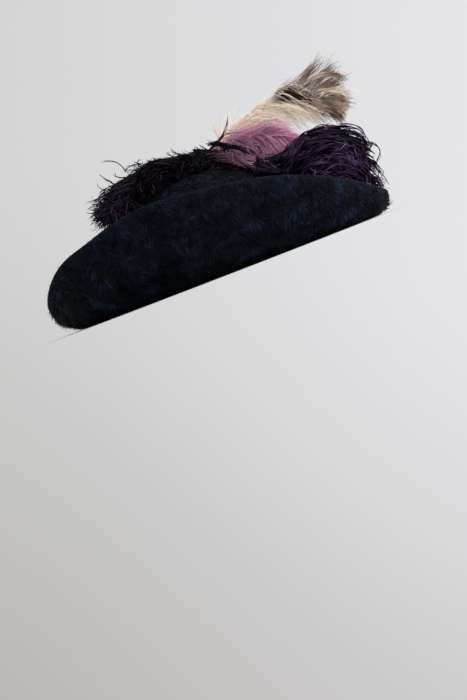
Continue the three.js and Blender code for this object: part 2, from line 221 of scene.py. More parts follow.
MAUVE_WISPS = [
    picked([(262, 138), (284, 134), (303, 139)], (4, 2, 2), 16, 7, 1.85),
    picked([(262, 133), (278, 127), (292, 130)], (6, 4, 4), 12, 6, 1.8),
    picked([(256, 131), (268, 123), (280, 124)], (8, 6, 6), 8, 5, 1.6),
    picked([(266, 142), (286, 142), (300, 149)], (2, 0, 0), 10, 7, 0.8),
    placed((27, 52, 80), (4, -12, -24), (148, 141, 124), 14, 9, 0.2),
    placed((40, 62, 86), (2, -14, -28), (150, 140, 118), 10, 8, 0.2),
    placed((66, 80, 86), (-12, -24, -32), (147, 132, 102), 3, 3, 0.2),
    placed((52, 66, 90), (-10, -24, -32), (146, 130, 108), 2, 3, 0.2),
    placed((64, 92, 112), (4, -14, -24), (148, 124, 99), 26, 12, 0.2),
    placed((52, 80, 104), (0, -20, -30), (140, 120, 99), 20, 10, 0.1),
    picked([(207, 156), (222, 153), (236, 158)], (-26, -44, -46), 12, 5, 0.08),
    picked([(216, 158), (232, 156), (250, 166)], (-24, -42, -44), 12, 5, 0.1),
    picked([(238, 158), (250, 164), (259, 174)], (-30, -42, -46), 6, 4, 0.2),
    picked([(233, 153), (233, 157), (234, 162)], (-44, -46, -46), 2, 1, 0.3),
    picked([(247, 146), (250, 152), (253, 158)], (-34, -36, -36), 2, 1, 0.3),
    picked([(236, 154), (248, 160), (264, 167)], (-4, -8, -8), 14, 9, 0.3),
    picked([(240, 149), (254, 156), (272, 165)], (-2, -8, -8), 12, 9, 0.4),
    picked([(214, 159), (230, 161), (247, 169)], (-26, -44, -46), 10, 5, 0.08),
    picked([(234, 155), (248, 160), (262, 163)], (-10, -14, -14), 14, 8, 0.25),
    picked([(250, 142), (256, 146), (266, 150)], (4, 2, 2), 8, 7, 0.4),
]
CREAM_SPINE = [
    (32, 30, 134, 3, 24, 20, 62, 50, 0.1),
    (55, 33, 156, 4, 24, 30, 70, 45, 0.1),
    (84, 36, 172, 7, 22, 44, 78, 36, 0.2),
    (114, 40, 181, 9, 27, 53, 80, 30, 0.2),
    (140, 43, 185, 12, 57, 54, 62, 34, 0.2),
    (166, 46, 178, 14, 69, 47, 42, 52, 0.3),
    (190, 47, 167, 12, 52, 38, 32, 60, 0.4),
    (209, 48, 152, 8, 28, 22, 26, 60, 0.5),
]
CREAM_WISPS = [
    picked([(228, 139), (221, 126), (226, 113)], (31, 33, 33), 7, 12, 0.1),
    picked([(222, 141), (213, 130), (211, 116)], (28, 30, 30), 5, 9, 0.1),
    picked([(236, 130), (232, 118), (240, 106)], (34, 35, 36), 7, 10, 0.1),
    picked([(288, 93), (304, 77), (322, 58)], (44, 42, 40), 70, 10, 1.8),
    picked([(302, 96), (319, 78), (336, 62)], (46, 43, 42), 76, 11, 1.86),
    picked([(312, 100), (328, 87), (343, 77)], (47, 45, 44), 46, 10, 1.93),
    picked([(312, 80), (330, 74), (346, 80)], (40, 38, 38), 56, 6, 1.93),
    picked([(322, 93), (338, 91), (350, 95)], (44, 42, 40), 36, 10, 0.1),
    picked([(326, 94), (340, 98), (349, 107)], (40, 38, 38), 20, 5, 0.85),
    picked([(280, 94), (298, 96), (322, 105)], (36, 34, 36), 66, 7, 1.0),
    picked([(288, 98), (307, 99), (332, 107)], (38, 38, 40), 26, 8, 1.0),
    picked([(286, 83), (302, 88), (320, 101)], (36, 32, 32), 6, 9, 0.1),
    picked([(276, 92), (290, 98), (308, 112)], (36, 32, 32), 12, 9, 0.1),
    picked([(300, 97), (322, 103), (346, 111)], (34, 32, 34), 18, 7, 0.87),
]

# Barbs go in tufts that tilt out of the plume's flat between low and high, and lean by loose more or less.
# They start within fill of the body, and the low share starts up to hang below it. The crest's share stands
# up, with long of its length. The strings' share has long times its length and leans by lean. The barbs at
# the very tip keep fan of their length, and the butt share points back from the quill's root. Wave is how far
# a wisp's strands stray. Down is the shade of a plume's dense middle, a dark copy of its form that is painted
# shade inside the plume, of which there is a second one, lowered by so much, as painted shade under the
# plume.
# Shades, tips and quill are stops of colour ramps: over the streaks, along a barb and along u. The tips ramp
# darkens each barb towards its root as painted shade, and the quill ramps of the back and front plumes are
# painted light and shade along those plumes.
STRAIGHT = {
    "butt": 0.0,
    "low": 0.0,
    "hang": 0,
    "crest": {"share": 0.0, "long": 1.0},
    "strings": {"share": 0.0, "long": 1.0, "lean": 60},
    "down": 0,
    "taper": 0.35,
    "barbules": 64,
}
CURLED = {
    "down": 0.2,
    "curl": 2.6,
    "tuft": 2,
    "fill": 0.95,
    "taper": 0.7,
    "barbules": 5,
    "barbule": {"root": 1.2, "tip": 0.8, "width": 0.5},
}
PLUMES = {
    "back_plume": {
        **CURLED,
        "slot": "aubergine_feather",
        "colour": "aubergine",
        "shades": [(0.42, 0.36), (0.55, 0.9), (0.7, 1.95)],
        "tips": [(0.0, 0.45), (0.5, 1.0)],
        # painted light and shade: the back plume is coloured lighter towards the far end of its quill, where
        # the light falls
        "quill": [(0.2, 1.0), (0.38, 1.25), (0.49, 1.25), (0.5, 1.0), (0.7, 1.0), (0.88, 1.25)],
        "spine": BACK_SPINE,
        "wisps": BACK_WISPS,
        "wave": 2.4,
        "lowered": 14,
        "face": {"depth": 0.97, "height": 0.25},
        "tilt": {"low": -80, "high": 48},
        "loose": 20,
        "wander": 0.07,
        "low": 0.2,
        "hang": 4,
        "crest": {"share": 0.2, "long": 0.34},
        "strings": {"share": 0.3, "long": 1.35, "lean": 66},
        "fan": 0.9,
        "butt": 0.09,
        "barbs": 3900,
        "barb_width": 1.25,
    },
    "front_plume": {
        **CURLED,
        "slot": "violet_feather",
        "colour": "violet",
        "shades": [(0.42, 0.12), (0.54, 1.0), (0.68, 5.0)],
        "tips": [(0.0, 0.4), (0.5, 1.0)],
        # painted light and shade: the front plume is coloured darker near its quill's root and lighter
        # further along, as the light falls
        "quill": [
            (0.04, 0.4), (0.1, 0.58), (0.2, 0.85), (0.35, 1.4), (0.49, 1.4),
            (0.5, 0.6), (0.7, 0.8), (0.85, 1.4),
        ],
        "spine": FRONT_SPINE,
        "wisps": FRONT_WISPS,
        "wave": 2.6,
        "down": 0.15,
        "lowered": 17,
        "face": {"depth": 0.9, "height": 0.43},
        "tilt": {"low": -88, "high": 45},
        "loose": 22,
        "wander": 0.06,
        "low": 0.5,
        "hang": 14,
        "crest": {"share": 0.2, "long": 0.5},
        "strings": {"share": 0.3, "long": 1.25, "lean": 72},
        "fan": 0.75,
        "butt": 0.02,
        "barbs": 2800,
        "barb_width": 1.3,
    },
    "mauve_plume": {
        **STRAIGHT,
        "slot": "mauve_feather",
        "colour": "mauve",
        "shades": [(0.32, 0.62), (0.5, 1.04), (0.68, 1.4)],
        "tips": [(0.0, 0.55), (0.5, 0.9), (1.0, 1.0)],
        "quill": [(0.06, 0.42), (0.15, 0.68), (0.49, 0.7), (0.51, 0.94)],
        "spine": MAUVE_SPINE,
        "wisps": MAUVE_WISPS,
        "wave": 1.2,
        "face": {"depth": 0.55, "height": 0.83},
        "tilt": {"low": -50, "high": 45},
        "loose": 10,
        "wander": 0.03,
        "curl": 0.4,
        "tuft": 3,
        "fill": 0.45,
        "low": 0.3,
        "hang": 8,
        "fan": 0.55,
        "barbs": 1300,
        "barb_width": 0.7,
        "barbule": {"root": 3.4, "tip": 2.4, "width": 0.4},
    },
    "cream_plume": {
        **STRAIGHT,
        "slot": "cream_feather",
        "colour": "cream",
        "spine": CREAM_SPINE,
        "wisps": CREAM_WISPS,
        "wave": 1.0,
        "face": {"depth": 0.5, "height": 0.87},
        "tilt": {"low": -40, "high": 40},
        "loose": 9,
        "wander": 0.035,
        "curl": 0.3,
        "tuft": 2,
        "fill": 0.45,
        "strings": {"share": 0.1, "long": 1.15, "lean": 66},
        "fan": 0.6,
        "barbs": 1500,
        "barb_width": 0.6,
        "barbule": {"root": 4.6, "tip": 2.6, "width": 0.4},
    },
}


def metres(name, description, default, **limits):
    return bpy.props.FloatProperty(
        name=name, description=description, default=default, unit="LENGTH", **limits
    )


def turned(name, description, default):
    return bpy.props.FloatProperty(name=name, description=description, default=default, subtype="ANGLE")


def coloured(name, description, default):
    return bpy.props.FloatVectorProperty(name=name, description=description, default=default, subtype="COLOR")


class HatNap(bpy.types.PropertyGroup):
    """The fur of the felt."""

    length: metres("Nap length", "Length of the longest hairs", 12 * MM, min=1 * MM)
    width: metres("Hair width", "Width of one hair of the underfur at its root", 0.7 * MM)
    locks: bpy.props.FloatProperty(
        name="Locks", description="Share of the nap in longer, lighter locks", default=0.4, min=0, max=1
    )
    lift: turned("Lift", "How far the nap stands off the felt", math.radians(26))
    brushed: turned("Brushed", "Main way of the nap, from round the hat to down", math.radians(75))
    swirl: metres("Swirl size", "Size of the swirls that the nap is brushed in", 30 * MM)
    clump: metres("Clump size", "Size of the clumps that the hairs' tips draw into", 4.5 * MM)
    dark: coloured("Dark hair", "Colour of the darkest hairs", (0.002, 0.003, 0.005))
    mid: coloured("Hair", "Colour of most of the hairs", (0.0082, 0.0122, 0.0208))
    light: coloured("Light hair", "Colour of the lightest hairs", (0.025, 0.048, 0.100))


class HatFeathers(bpy.types.PropertyGroup):
    """The ostrich plumes."""

    quill: metres("Quill", "Radius of a quill at its root", 1.3 * MM)
    # A plume's down is painted shade: a dark copy of its form inside the plume, and a lower copy under it.
    sunk: metres("Down", "How far a plume's down lies under its form", 1 * MM)
    clearance: metres("Clearance", "Least distance from a barb to the felt", 2 * MM)
    aubergine: coloured("Aubergine", "Colour of the back plume", (0.019, 0.012, 0.026))
    violet: coloured("Violet", "Colour of the front plume", (0.043, 0.024, 0.063))
    mauve: coloured("Mauve", "Colour of the middle plume", (0.74, 0.36, 0.54))
    cream: coloured("Cream", "Colour of the cream plume", (1.0, 0.92, 0.82))
    cream_dark: coloured("Deep cream", "Darker barbs of the cream plume", (0.92, 0.79, 0.65))
    brown: coloured("Brown", "Brown tips of the cream plume", (0.2, 0.1, 0.063))
    brown_dark: coloured("Dark brown", "Centre of the cream plume", (0.032, 0.017, 0.011))


class HatStage(bpy.types.PropertyGroup):
    """The camera and the light."""

    distance: metres("Distance", "From the hat to the camera", VIEW.distance)
    height: metres("Camera height", "Height of the camera above the floor", VIEW.height)
    azimuth: turned("Azimuth", "From the front to the wearer's right", VIEW.azimuth)
    turn: turned("Turn", "Turn of the camera from the hat's middle", VIEW.turn)
    pitch: turned("Pitch", "Pitch of the camera", VIEW.pitch)
    roll: turned("Roll", "Roll of the camera, which tilts the hat", VIEW.roll)
    lens: bpy.props.FloatProperty(name="Lens", description="Focal length in millimetres", default=VIEW.lens)
    left: coloured("Backdrop, left", "Colour behind the hat, on the left", (0.65, 0.65, 0.65))
    right: coloured("Backdrop, right", "Colour behind the hat, on the right", (0.79, 0.79, 0.815))
    low: coloured("Backdrop, low", "What its low part keeps of the colour", (0.73, 0.715, 0.69))
    floor: coloured("Floor", "Colour of the floor", (0.64, 0.64, 0.65))
    window: bpy.props.FloatProperty(
        name="Window light", description="Strength of the soft light from the side", default=2.6
    )


def deselect():
    for o in bpy.context.selected_objects:
        o.select_set(False)
    bpy.context.view_layer.objects.active = None


def select_only(obj):
    deselect()
    obj.select_set(True)
    bpy.context.view_layer.objects.active = obj


def new_object(name, data):
    made = bpy.data.objects.new(name, data)
    bpy.context.scene.collection.objects.link(made)
    return made


def finish_piece(obj, slot, *nodes):
    """Puts a finished piece on the hat's body, in the place of its CAD nodes where it has any."""
    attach(obj, "root")
    if nodes:
        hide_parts(*nodes)


def apply_modifier(obj, kind, label, **values):
    made = obj.modifiers.new(label, kind)
    for key, value in values.items():
        setattr(made, key, value)
    bpy.ops.object.modifier_apply(modifier=made.name)


def dress(obj, material):
    obj.data.materials.clear()
    obj.data.materials.append(material)


def triples(items, key, kind=float):
    """A property of three values of each item, as an array."""
    made = np.empty(len(items) * 3, kind)
    items.foreach_get(key, made)
    return made.reshape(-1, 3)


def unit(v):
    return v / np.maximum(np.linalg.norm(v, axis=-1, keepdims=True), 1e-12)


def ripple(points, size, rng, waves=6):
    """A smooth random value from about -1 to 1 at each point, which changes over about that size."""
    total = np.zeros(len(points))
    for _ in range(waves):
        ahead = unit(rng.normal(size=3)) * (2 * math.pi / size) * rng.uniform(0.5, 1.2)
        total += np.sin(points @ ahead + rng.uniform(0, 2 * math.pi))
    return total / math.sqrt(waves)


# Materials


def add_node(tree, kind, label, **values):
    """A node with its properties set, and its inputs where a value's name is one of them."""
    made = tree.nodes.new(kind)
    made.label = label
    for key, value in values.items():
        if key in made.inputs:
            made.inputs[key].default_value = value
        else:
            setattr(made, key, value)
    return made


def new_material(name, roughness, specular):
    material = bpy.data.materials.new(name)
    material.use_nodes = True
    tree = material.node_tree
    surface = tree.nodes["Principled BSDF"]
    surface.inputs["Roughness"].default_value = roughness
    surface.inputs["Specular IOR Level"].default_value = specular
    return material, tree, surface


def fibrous(tree, surface, scale, detail, strength, distance):
    """Fine fibres in relief on a surface, as noise that the colours may use as well."""
    place = add_node(tree, "ShaderNodeTexCoord", "Place")
    fibre = add_node(tree, "ShaderNodeTexNoise", "Fibres", Scale=scale, Detail=detail)
    bump = add_node(tree, "ShaderNodeBump", "Fibre relief", Strength=strength, Distance=distance)
    tree.links.new(place.outputs["Object"], fibre.inputs["Vector"])
    tree.links.new(fibre.outputs["Fac"], bump.inputs["Height"])
    tree.links.new(bump.outputs["Normal"], surface.inputs["Normal"])
    return place.outputs["Object"], fibre.outputs["Fac"]


def felt_material(nap):
    """The felt under the nap: dark wool-like fibre, mottled and rough."""
    made, tree, surface = new_material("fur_felt", 0.9, 0.1)
    place, _ = fibrous(tree, surface, 900.0, 3.0, 0.6, 0.6 * MM)
    cloud = add_node(tree, "ShaderNodeTexNoise", "Mottle", Scale=60.0, Detail=5.0, Roughness=0.6)
    tree.links.new(place, cloud.inputs["Vector"])
    shade = ramped(tree, "Felt colours", cloud.outputs["Fac"], [(0.2, nap.dark), (0.6, nap.mid)])
    tree.links.new(shade, surface.inputs["Base Color"])
    return made


def strand_map(tree):
    """The strand's own map as two outputs: X picks its shade and Y runs from root to tip."""
    place = add_node(tree, "ShaderNodeUVMap", "Strand map", uv_map=UV)
    split = add_node(tree, "ShaderNodeSeparateXYZ", "Shade and run")
    tree.links.new(place.outputs["UV"], split.inputs["Vector"])
    return split


def mixed(tree, label, first, second, factor, blend="MIX"):
    """A colour mix of two outputs or colours by an output or a number."""
    made = add_node(tree, "ShaderNodeMix", label, data_type="RGBA", blend_type=blend)
    for socket, value in ((made.inputs[0], factor), (made.inputs[6], first), (made.inputs[7], second)):
        if isinstance(value, bpy.types.NodeSocket):
            tree.links.new(value, socket)
        else:
            socket.default_value = value if isinstance(value, float) else (*value, 1)
    return made.outputs[2]


def masked(tree, label, *factors):
    """The product of some outputs from 0 to 1."""
    product = factors[0]
    for factor in factors[1:]:
        made = add_node(tree, "ShaderNodeMath", label, operation="MULTIPLY")
        tree.links.new(product, made.inputs[0])
        tree.links.new(factor, made.inputs[1])
        product = made.outputs[0]
    return product


def ramped(tree, label, value, stops):
    """A colour ramp's output at an output's value. A stop's colour may be one number, for grey."""
    made = add_node(tree, "ShaderNodeValToRGB", label)
    ramp = made.color_ramp
    while len(ramp.elements) < len(stops):
        ramp.elements.new(0.5)
    for element, (place, colour) in zip(ramp.elements, stops):
        element.position = place
        element.color = (colour, colour, colour, 1) if isinstance(colour, (int, float)) else (*colour, 1)
    tree.links.new(value, made.inputs["Fac"])
    return made.outputs["Color"]


def streaks(tree, label, split, scale, stretch):
    """Noise that changes quickly from strand to strand and slowly along a strand."""
    made = add_node(tree, "ShaderNodeTexNoise", label, noise_dimensions="2D", Scale=1.0, Detail=3.0)
    place = add_node(tree, "ShaderNodeCombineXYZ", label)
    for axis, by in (("X", scale), ("Y", stretch)):
        times = add_node(tree, "ShaderNodeMath", label, operation="MULTIPLY")
        times.inputs[1].default_value = by
        tree.links.new(split.outputs[axis], times.inputs[0])
        tree.links.new(times.outputs[0], place.inputs[axis])
    tree.links.new(place.outputs["Vector"], made.inputs["Vector"])
    return made.outputs["Fac"]


def nap_material(nap):
    """Long silky hair: darker at the root as painted shade, lighter towards the tip, each strand in its own
    shade.
    """
    made, tree, surface = new_material("fur_nap", 0.5, 0.06)
    split = strand_map(tree)
    shades = [(0.15, nap.dark), (0.6, nap.mid), (1.0, nap.light)]
    shade = ramped(tree, "Hair shades", split.outputs["X"], shades)
    # painted shade: each hair darkens towards its root, where the hairs crowd together on the felt
    tip = ramped(tree, "Painted root shade", split.outputs["Y"], [(0.0, 0.3), (0.5, 0.9), (1.0, 1.1)])
    tree.links.new(mixed(tree, "Along the hair", shade, tip, 1.0, "MULTIPLY"), surface.inputs["Base Color"])
    return made


# In u, a plume's lower barbs fill the first half, from the quill's root to its tip, and its upper barbs the
# second half.


def feather_material(name, colour, plume):
    """Barbs of a plume, streaked from barb to barb, darker towards their roots as painted shade, and shaded
    along the quill, which is painted light and shade on the back and front plumes.
    """
    made, tree, surface = new_material(name, 0.55, 0.1)
    split = strand_map(tree)
    stops = [(at, tuple(c * shade for c in colour)) for at, shade in plume["shades"]]
    shade = ramped(tree, "Barb shades", streaks(tree, "Streaks", split, 90, 2), stops)
    # painted shade: the tips ramp darkens each barb towards its root near the quill
    tip = ramped(tree, "Painted root shade", split.outputs["Y"], plume["tips"])
    barb = mixed(tree, "Along the barb", shade, tip, 1.0, "MULTIPLY")
    along = ramped(tree, "Quill's root to tip", split.outputs["X"], plume["quill"])
    tree.links.new(mixed(tree, "Along the quill", barb, along, 1.0, "MULTIPLY"), surface.inputs["Base Color"])
    return made


def shaded_down_material(name, colour):
    """The down in the middle of a plume: a deeper shade of its barbs, painted shade inside the plume, finely
    streaked.
    """
    made, tree, surface = new_material(name, 0.9, 0.03)
    _, fibre = fibrous(tree, surface, 350.0, 4.0, 0.8, 1 * MM)
    low, high = tuple(0.5 * c for c in colour), tuple(1.3 * c for c in colour)
    shade = ramped(tree, "Down shades", fibre, [(0.3, low), (0.7, high)])
    tree.links.new(shade, surface.inputs["Base Color"])
    return made


def cream_material(feathers):
    """Cream barbs with a brown streak along the quill of the outer half, and brown tips at its end."""
    made, tree, surface = new_material("cream_barbs", 0.6, 0.1)
    split = strand_map(tree)
    u, v = split.outputs["X"], split.outputs["Y"]
    streak = streaks(tree, "Streaks", split, 70, 1.5)
    cream = ramped(tree, "Cream shades", streak, [(0.3, feathers.cream_dark), (0.7, feathers.cream)])
    patchy = ramped(tree, "Streak's patches", streak, [(0.2, 0.7), (0.4, 1)])
    colour = cream
    for part, length, width in (
        ("Lower centre", [(0.25, 0), (0.3, 1), (0.38, 1), (0.44, 0.4), (0.49, 0)], [(0.26, 1), (0.52, 0)]),
        ("Upper centre", [(0.75, 0), (0.79, 1), (0.92, 1), (0.95, 0)], [(0.13, 1), (0.32, 0)]),
    ):
        along, near = ramped(tree, part + " length", u, length), ramped(tree, part + " width", v, width)
        colour = mixed(tree, part, colour, feathers.brown_dark, masked(tree, part, along, near, patchy))
    whole = ramped(tree, "Dark barbs", u, [(0.5, 0), (0.505, 1), (0.535, 1), (0.545, 0)])
    colour = mixed(tree, "Dark barbs", colour, feathers.brown_dark, masked(tree, "Dark barbs", whole, patchy))
    some = ramped(tree, "Some tips", streaks(tree, "Tips", split, 130, 1), [(0.32, 0.7), (0.46, 1)])
    lower_end = [(0.33, 0), (0.4, 1), (0.46, 1), (0.49, 0.3), (0.51, 0)]
    upper_end = [(0.72, 0), (0.78, 1), (0.965, 1), (0.985, 0.3)]
    end = ramped(tree, "Brown end", u, lower_end + upper_end)
    tips = ramped(tree, "Brown tips", v, [(0.0, 0.25), (0.3, 0.3), (0.6, 1)])
    colour = mixed(tree, "Tips", colour, feathers.brown, masked(tree, "Tips", end, tips, some))
    tree.links.new(colour, surface.inputs["Base Color"])
    return made


# Strands


def mesh_of(name, points, quads, tris, place_u, place_v, material):
    """A mesh object of strands from arrays: points, four- and three-sided faces, and each point's u and v."""
    mesh = bpy.data.meshes.new(name)
    corners = np.concatenate([quads.ravel(), tris.ravel()]).astype(np.int32)
    starts = np.concatenate([np.arange(len(quads)) * 4, len(quads) * 4 + np.arange(len(tris)) * 3])
    mesh.vertices.add(len(points))
    mesh.vertices.foreach_set("co", points.astype(np.float32).ravel())
    mesh.loops.add(len(corners))
    mesh.loops.foreach_set("vertex_index", corners)
    mesh.polygons.add(len(starts))
    mesh.polygons.foreach_set("loop_start", starts.astype(np.int32))
    layer = mesh.uv_layers.new(name=UV)
    flat = np.stack([place_u[corners], place_v[corners]], 1).astype(np.float32)
    layer.data.foreach_set("uv", flat.ravel())
    mesh.update(calc_edges=True)
    mesh.validate()
    mesh.materials.append(material)
    return new_object(name, mesh)


def ribbons(paths, sides, widths, shades):
    """Tapered ribbons along paths, as points, quads, tris and map values. The last point is the tip."""
    count, steps, _ = paths.shape
    rows = steps - 1
    half = sides * (widths / 2)[..., None]
    left, right = paths[:, :rows] - half[:, :rows], paths[:, :rows] + half[:, :rows]
    points = np.concatenate([np.stack([left, right], 2).reshape(count, -1, 3), paths[:, -1:]], 1)
    each = 2 * rows + 1
    base = (np.arange(count) * each)[:, None]
    k = np.arange(rows - 1) * 2
    quads = np.stack([base + k, base + k + 1, base + k + 3, base + k + 2], 2).reshape(-1, 4)
    tris = np.stack([base[:, 0] + each - 3, base[:, 0] + each - 2, base[:, 0] + each - 1], 1)
    run = np.linspace(0, 1, steps)
    v = np.concatenate([np.repeat(run[:rows], 2), run[-1:]])
    u = shades[:, None] + np.concatenate([np.tile([-HALF_SHADE, HALF_SHADE], rows), [0]])[None]
    return points.reshape(-1, 3), quads, tris, u.ravel(), np.tile(v, count)


def surface_samples(obj, keep, count, rng):
    """Points spread evenly over the faces of obj that keep picks, with the smooth normal at each."""
    mesh = obj.data
    mesh.calc_loop_triangles()
    co, normals = triples(mesh.vertices, "co"), triples(mesh.vertices, "normal")
    tri = triples(mesh.loop_triangles, "vertices", int)
    corners = co[tri]
    cross = np.cross(corners[:, 1] - corners[:, 0], corners[:, 2] - corners[:, 0])
    weight = np.linalg.norm(cross, axis=1) * keep(corners.mean(1), unit(cross))
    picked = rng.choice(len(tri), count, p=weight / weight.sum())
    a, b = rng.random(count), rng.random(count)
    a, b = np.where(a + b > 1, 1 - a, a), np.where(a + b > 1, 1 - b, b)
    share = np.stack([1 - a - b, a, b], 1)[..., None]
    return (co[tri[picked]] * share).sum(1), unit((normals[tri[picked]] * share).sum(1))


def rim_height(brim):
    """A function that gives the height of the brim's rim in the direction of each point."""
    co = np.array([v.co for v in brim.data.vertices])
    turn = np.arctan2(co[:, 1], co[:, 0])
    places = np.linspace(-math.pi, math.pi, RIM_PARTS + 1)
    part = np.digitize(turn, places) - 1
    tops = np.array([co[part == i, 2].max() for i in range(RIM_PARTS)])
    middles = (places[:-1] + places[1:]) / 2

    def height(points):
        return np.interp(np.arctan2(points[:, 1], points[:, 0]), middles, tops, period=2 * math.pi)

    return height


def nap_piece(name, felt, keep, count, nap, material, rng, rim, length, shade):
    """One joined mesh of nap over part of the felt, brushed in swirls and drawn into clumps."""
    roots, normals = surface_samples(felt, keep, count, rng)
    full = np.ones(count)
    if rim:
        full = np.clip((rim(roots) - roots[:, 2]) / RIM_ZONE, 0, 1)
    round_hat = unit(np.stack([-roots[:, 1], roots[:, 0], np.zeros(count)], 1))
    down = unit(np.cross(normals, round_hat))
    down *= np.where(down[:, 2:] > 0, -1, 1)
    lock = rng.random(count) < nap.locks
    way = 0.6 * ripple(roots, nap.swirl * 2.2, rng) + 0.6 * ripple(roots, nap.swirl, rng)
    way += rng.normal(0, 1, count) * np.where(lock, 0.14, 0.35)
    brushed = nap.brushed + way * (0.35 + 0.65 * full)
    ahead = unit(round_hat * np.cos(brushed)[:, None] + down * np.sin(brushed)[:, None])
    ahead = unit(ahead - normals * (ahead * normals).sum(1, keepdims=True))
    side = unit(np.cross(normals, ahead))
    long = nap.length * length * rng.uniform(0.7, 1.1, count)
    long *= 1 + 0.18 * ripple(roots, nap.swirl * 0.7, rng)
    long = long * (0.2 + 0.8 * full) * np.where(lock, 1.1, 0.7)
    lift = nap.lift * rng.uniform(0.5, 1.5, count) * (1 + 0.35 * ripple(roots, nap.swirl * 0.8, rng))
    lift *= np.where(rng.random(count) < 0.12, 2, 1)
    if rim:
        lift *= 1 + 0.8 * np.clip(1 - roots[:, 2] / LOW_ZONE, 0, 1)
    bend = rng.normal(0, 1, count) * np.where(lock, 0.15, 0.4) + 0.45 * ripple(roots, nap.swirl * 0.6, rng)
    run = HAIR_STEPS * long[:, None]
    rise = np.sin(lift)[:, None] * run * (1 - 0.38 * HAIR_STEPS)
    drift = bend[:, None] * run * HAIR_STEPS
    paths = (
        roots[:, None]
        + ahead[:, None] * (run * np.cos(lift)[:, None])[..., None]
        + normals[:, None] * rise[..., None]
        + side[:, None] * drift[..., None]
    )
    cell = np.floor((paths[:, -1] + 0.4 * nap.clump * rng.normal(size=3)) / nap.clump).astype(int)
    _, group = np.unique(cell, axis=0, return_inverse=True)
    group = group.ravel()
    size = np.bincount(group)
    middle = np.stack([np.bincount(group, paths[:, -1, i]) / size for i in range(3)], 1)[group]
    drawn = np.where(lock, 0.45, 0.3) * full
    paths = paths + (middle - paths[:, -1])[:, None] * (drawn[:, None] * HAIR_STEPS**2)[..., None]
    if rim:
        paths[..., 2] = np.minimum(paths[..., 2], (rim(roots) + FLOOR_GAP)[:, None])
    paths[..., 2] = np.maximum(paths[..., 2], FLOOR_GAP)
    roll = rng.normal(0, 0.4, count)[:, None]
    across = side * np.cos(roll) + normals * np.sin(roll)
    widths = nap.width * (rng.uniform(0.6, 1.3, count) * np.where(lock, 1.25, 1))[:, None] * HAIR_WIDTHS
    tone = rng.normal(size=group.max() + 1)[group]
    shades = shade + 0.12 * ripple(roots, nap.swirl, rng) + 0.1 * ripple(roots, nap.swirl * 0.4, rng)
    shades += np.where(lock, 0.05 + 0.11 * tone, -0.08 + 0.05 * tone) + rng.normal(0, 0.07, count)
    # painted highlight: the nap gets lighter towards the rim
    shades += 0.22 * (1 - full) ** 2
    parts = ribbons(paths, np.repeat(across[:, None], 3, 1), widths, np.clip(shades, 0.01, 0.99))
    finish_piece(mesh_of(name, *parts, material), "felt")


# Plumes


def spine_curve(rows, t):
    """Points on a smooth curve through a spine's rows, for t from 0 to 1, in the hat's frame, in metres."""
    table = np.array([row[:3] for row in rows], float)
    table = np.concatenate([2 * table[:1] - table[1:2], table, 2 * table[-1:] - table[-2:-1]])
    x = np.clip(t, 0, 1) * (len(rows) - 1)
    k = np.minimum(x.astype(int), len(rows) - 2)
    f = (x - k)[:, None]
    a, b, c, d = (table[k + i] for i in range(4))
    made = 0.5 * (2 * b + (c - a) * f + (2 * a - 5 * b + 4 * c - d) * f**2 + (3 * b - a - 3 * c + d) * f**3)
    return to_hat(made * MM)


def to_hat(v):
    """From along, depth and height to the hat's x, y and z."""
    c, s = math.cos(TRIM_TURN), math.sin(TRIM_TURN)
    return np.stack([v[..., 0] * c + v[..., 1] * s, -v[..., 0] * s + v[..., 1] * c, v[..., 2]], -1)


def column(rows, name, t):
    """A column of a spine's rows at t from 0 to 1."""
    return np.interp(t * (len(rows) - 1), np.arange(len(rows)), [row[SPINE.index(name)] for row in rows])


def kept_off(points, felt, clearance):
    """Moves points that are in the felt, or nearer to it than the clearance, straight out of it."""
    for i, p in enumerate(points):
        near, normal, _, _ = felt.find_nearest(Vector(p))
        gap = (Vector(p) - near).dot(normal)
        if gap < clearance:
            points[i] = Vector(p) + normal * (clearance - gap)
    return points


